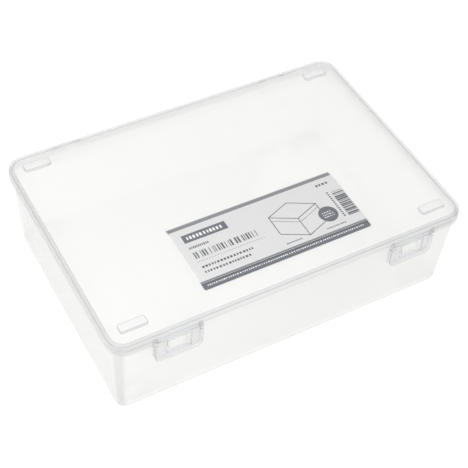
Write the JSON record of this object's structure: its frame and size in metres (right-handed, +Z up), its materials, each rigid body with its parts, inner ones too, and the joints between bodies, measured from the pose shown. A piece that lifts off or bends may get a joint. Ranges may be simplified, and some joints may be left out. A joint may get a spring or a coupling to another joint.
{
  "type": "clip-lid storage case",
  "caption": "Shallow translucent plastic storage case with a back-hinged flat lid, snap latches along the front and a printed label film on the lid",
  "frame": {"origin": "middle of the flat underside that the tray rests on", "axes": "X across the case from the left latch to the right latch, -Y is the front with the latches, +Y the back with the hinges, Z up"},
  "size_m": [0.2766, 0.1958, 0.0782],
  "materials": {
    "clear_pp": "injection-moulded clarified polypropylene, milky translucent, smooth",
    "latch_plastic": "injection-moulded clear plastic with a faint blue-grey tint, smooth",
    "printed_film": "self-adhesive translucent film, printed in greys, satin"
  },
  "bodies": {
    "tray": {"tray": "clear_pp"},
    "lid": {"lid": "clear_pp", "label_film": "printed_film"},
    "latch_left": {"latch_left": "latch_plastic"},
    "latch_right": {"latch_right": "latch_plastic"}
  },
  "joints": [
    {"name": "lid_hinge", "type": "hinge", "parent": "tray", "child": "lid", "pos_m": [0, 0.0966, 0.069], "axis": [-1, 0, 0], "range_deg": [0, 105]},
    {"name": "latch_left_hinge", "type": "hinge", "parent": "lid", "child": "latch_left", "pos_m": [-0.092, -0.0944, 0.0702], "axis": [-1, 0, 0], "range_deg": [0, 110]},
    {"name": "latch_right_hinge", "type": "hinge", "parent": "lid", "child": "latch_right", "pos_m": [0.092, -0.0944, 0.0702], "axis": [-1, 0, 0], "range_deg": [0, 110]}
  ]
}
